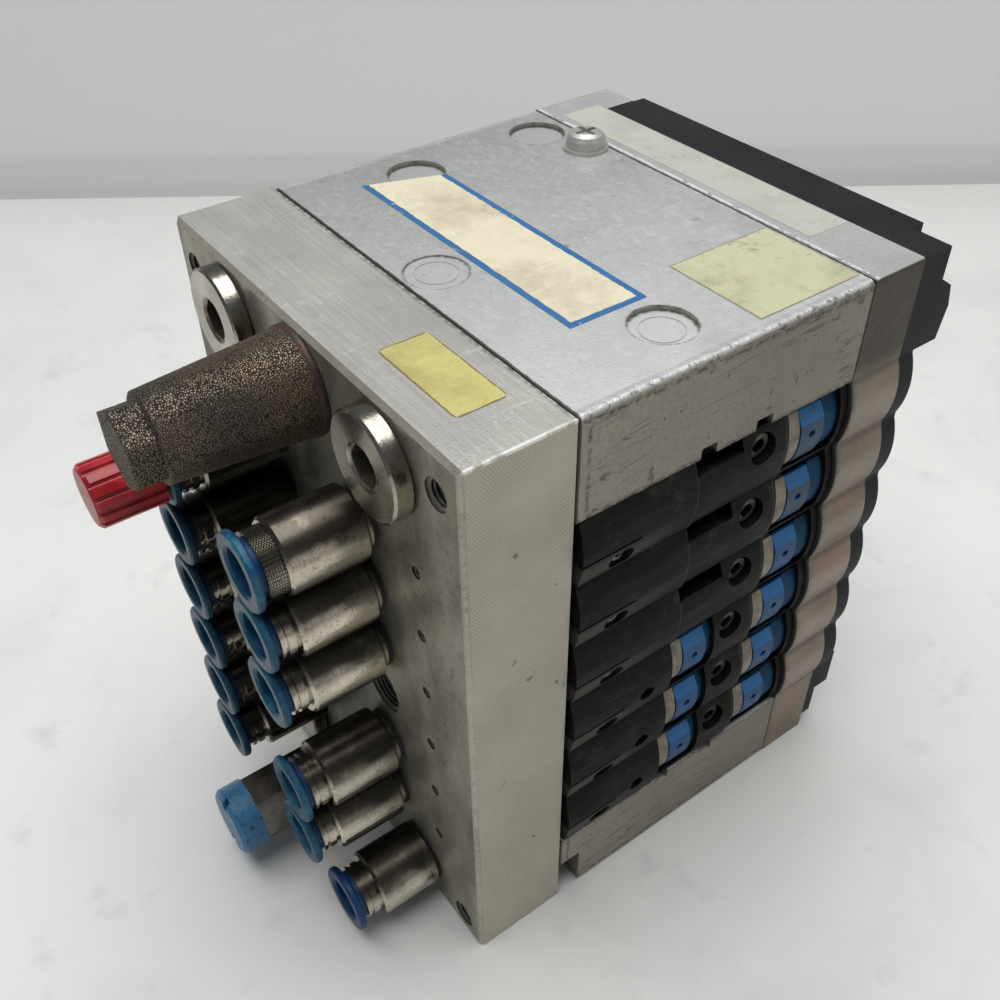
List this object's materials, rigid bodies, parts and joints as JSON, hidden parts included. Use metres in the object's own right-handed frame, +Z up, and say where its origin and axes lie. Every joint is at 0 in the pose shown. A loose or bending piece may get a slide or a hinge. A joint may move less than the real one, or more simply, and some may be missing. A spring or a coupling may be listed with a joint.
{
  "type": "pneumatic valve island",
  "caption": "Pneumatic valve island: stacked valve slices between end plates, with a plate of push-in fittings in front and an electrical node behind.",
  "frame": {"origin": "middle of the lower end plate's resting face", "axes": "+X across the island towards the side with the manual overrides, +Y from the connector plate to the electrical node, +Z up along the stack"},
  "size_m": [0.0906, 0.1422, 0.1254],
  "materials": {
    "plate_aluminium": "milled and worn aluminium",
    "cast_aluminium": "blotchy die cast aluminium with scratches",
    "housing_aluminium": "milled aluminium with grime",
    "slice_metal": "dark anthracite coating with scuffs",
    "spool_aluminium": "ground",
    "gasket_rubber": "matte",
    "seal_rubber": "matte",
    "screw_steel": "zinc plated",
    "nickel_brass": "nickel plated satin",
    "sintered_bronze": "granular sintered bronze",
    "red_plastic": "glossy red",
    "ring_plastic": "worn sky blue",
    "override_plastic": "worn bright blue",
    "cap_plastic": "satin blue",
    "seat_plastic": "beige",
    "window_plastic": "clear, yellowed",
    "cover_plastic": "charcoal",
    "board_laminate": "green laminate",
    "shell_steel": "tin plated",
    "insert_plastic": "black",
    "pin_brass": "gold plated"
  },
  "bodies": {
    "base": {"connector_plate": "plate_aluminium", "plate_gasket": "gasket_rubber", "plate_screws": "screw_steel", "upper_end_plate": "cast_aluminium", "lower_end_plate": "cast_aluminium", "tie_rods": "screw_steel", "bore_caps": "slice_metal", "override_seats": "seat_plastic", "light_windows": "window_plastic", "slice_screws": "screw_steel", "fittings_left": "nickel_brass", "fittings_right": "nickel_brass", "blanking_plug": "red_plastic", "port_seals": "seal_rubber", "port_plugs": "nickel_brass", "silencer": "sintered_bronze", "centre_supply_fitting": "nickel_brass", "supply_cap": "cap_plastic", "node_housing": "housing_aluminium", "housing_gasket": "gasket_rubber", "circuit_board": "board_laminate", "node_cover": "cover_plastic", "cover_screws": "screw_steel", "earth_screw": "screw_steel", "connector_shell": "shell_steel", "connector_insert": "insert_plastic", "connector_pins": "pin_brass", "valve_slice_1": "slice_metal", "valve_slice_2": "slice_metal", "valve_slice_3": "slice_metal", "valve_slice_4": "slice_metal", "valve_slice_5": "slice_metal", "valve_slice_6": "slice_metal"},
    "ring_left_1": {"ring_left_1": "ring_plastic"},
    "ring_left_2": {"ring_left_2": "ring_plastic"},
    "ring_left_3": {"ring_left_3": "ring_plastic"},
    "ring_left_4": {"ring_left_4": "ring_plastic"},
    "ring_left_5": {"ring_left_5": "ring_plastic"},
    "ring_left_6": {"ring_left_6": "ring_plastic"},
    "ring_right_1": {"ring_right_1": "ring_plastic"},
    "ring_right_2": {"ring_right_2": "ring_plastic"},
    "ring_right_3": {"ring_right_3": "ring_plastic"},
    "ring_right_5": {"ring_right_5": "ring_plastic"},
    "ring_right_6": {"ring_right_6": "ring_plastic"},
    "ring_supply": {"ring_supply": "ring_plastic"},
    "override_rear_1": {"override_rear_1": "override_plastic"},
    "override_rear_2": {"override_rear_2": "override_plastic"},
    "override_rear_3": {"override_rear_3": "override_plastic"},
    "override_rear_4": {"override_rear_4": "override_plastic"},
    "override_front_4": {"override_front_4": "override_plastic"},
    "override_rear_5": {"override_rear_5": "override_plastic"},
    "override_front_5": {"override_front_5": "override_plastic"},
    "override_rear_6": {"override_rear_6": "override_plastic"},
    "override_front_6": {"override_front_6": "override_plastic"},
    "spool_1": {"spool_1": "spool_aluminium"},
    "spool_2": {"spool_2": "spool_aluminium"},
    "spool_3": {"spool_3": "spool_aluminium"},
    "spool_4": {"spool_4": "spool_aluminium"},
    "spool_5": {"spool_5": "spool_aluminium"},
    "spool_6": {"spool_6": "spool_aluminium"}
  },
  "joints": [
    {"name": "ring_left_1_push", "type": "slide", "parent": "base", "child": "ring_left_1", "axis": [0, 1, 0], "range_m": [0, 0.0008], "stiffness_N_per_m": 1500},
    {"name": "ring_left_2_push", "type": "slide", "parent": "base", "child": "ring_left_2", "axis": [0, 1, 0], "range_m": [0, 0.0008], "stiffness_N_per_m": 1500},
    {"name": "ring_left_3_push", "type": "slide", "parent": "base", "child": "ring_left_3", "axis": [0, 1, 0], "range_m": [0, 0.0008], "stiffness_N_per_m": 1500},
    {"name": "ring_left_4_push", "type": "slide", "parent": "base", "child": "ring_left_4", "axis": [0, 1, 0], "range_m": [0, 0.0008], "stiffness_N_per_m": 1500},
    {"name": "ring_left_5_push", "type": "slide", "parent": "base", "child": "ring_left_5", "axis": [0, 1, 0], "range_m": [0, 0.0008], "stiffness_N_per_m": 1500},
    {"name": "ring_left_6_push", "type": "slide", "parent": "base", "child": "ring_left_6", "axis": [0, 1, 0], "range_m": [0, 0.0008], "stiffness_N_per_m": 1500},
    {"name": "ring_right_1_push", "type": "slide", "parent": "base", "child": "ring_right_1", "axis": [0, 1, 0], "range_m": [0, 0.0008], "stiffness_N_per_m": 1500},
    {"name": "ring_right_2_push", "type": "slide", "parent": "base", "child": "ring_right_2", "axis": [0, 1, 0], "range_m": [0, 0.0008], "stiffness_N_per_m": 1500},
    {"name": "ring_right_3_push", "type": "slide", "parent": "base", "child": "ring_right_3", "axis": [0, 1, 0], "range_m": [0, 0.0008], "stiffness_N_per_m": 1500},
    {"name": "ring_right_5_push", "type": "slide", "parent": "base", "child": "ring_right_5", "axis": [0, 1, 0], "range_m": [0, 0.0008], "stiffness_N_per_m": 1500},
    {"name": "ring_right_6_push", "type": "slide", "parent": "base", "child": "ring_right_6", "axis": [0, 1, 0], "range_m": [0, 0.0008], "stiffness_N_per_m": 1500},
    {"name": "ring_supply_push", "type": "slide", "parent": "base", "child": "ring_supply", "axis": [0, 1, 0], "range_m": [0, 0.0008], "stiffness_N_per_m": 1500},
    {"name": "override_rear_1_push", "type": "slide", "parent": "base", "child": "override_rear_1", "axis": [-1, 0, 0], "range_m": [0, 0.0009], "stiffness_N_per_m": 1500},
    {"name": "override_rear_2_push", "type": "slide", "parent": "base", "child": "override_rear_2", "axis": [-1, 0, 0], "range_m": [0, 0.0009], "stiffness_N_per_m": 1500},
    {"name": "override_rear_3_push", "type": "slide", "parent": "base", "child": "override_rear_3", "axis": [-1, 0, 0], "range_m": [0, 0.0009], "stiffness_N_per_m": 1500},
    {"name": "override_rear_4_push", "type": "slide", "parent": "base", "child": "override_rear_4", "axis": [-1, 0, 0], "range_m": [0, 0.0009], "stiffness_N_per_m": 1500},
    {"name": "override_front_4_push", "type": "slide", "parent": "base", "child": "override_front_4", "axis": [-1, 0, 0], "range_m": [0, 0.0009], "stiffness_N_per_m": 1500},
    {"name": "override_rear_5_push", "type": "slide", "parent": "base", "child": "override_rear_5", "axis": [-1, 0, 0], "range_m": [0, 0.0009], "stiffness_N_per_m": 1500},
    {"name": "override_front_5_push", "type": "slide", "parent": "base", "child": "override_front_5", "axis": [-1, 0, 0], "range_m": [0, 0.0009], "stiffness_N_per_m": 1500},
    {"name": "override_rear_6_push", "type": "slide", "parent": "base", "child": "override_rear_6", "axis": [-1, 0, 0], "range_m": [0, 0.0009], "stiffness_N_per_m": 1500},
    {"name": "override_front_6_push", "type": "slide", "parent": "base", "child": "override_front_6", "axis": [-1, 0, 0], "range_m": [0, 0.0009], "stiffness_N_per_m": 1500},
    {"name": "spool_1_slide", "type": "slide", "parent": "base", "child": "spool_1", "axis": [1, 0, 0], "range_m": [0, 0.0025], "stiffness_N_per_m": 1000},
    {"name": "spool_2_slide", "type": "slide", "parent": "base", "child": "spool_2", "axis": [1, 0, 0], "range_m": [0, 0.0025], "stiffness_N_per_m": 1000},
    {"name": "spool_3_slide", "type": "slide", "parent": "base", "child": "spool_3", "axis": [1, 0, 0], "range_m": [0, 0.0025], "stiffness_N_per_m": 1000},
    {"name": "spool_4_slide", "type": "slide", "parent": "base", "child": "spool_4", "axis": [1, 0, 0], "range_m": [0, 0.0025]},
    {"name": "spool_5_slide", "type": "slide", "parent": "base", "child": "spool_5", "axis": [1, 0, 0], "range_m": [0, 0.0025]},
    {"name": "spool_6_slide", "type": "slide", "parent": "base", "child": "spool_6", "axis": [1, 0, 0], "range_m": [0, 0.0025]}
  ]
}
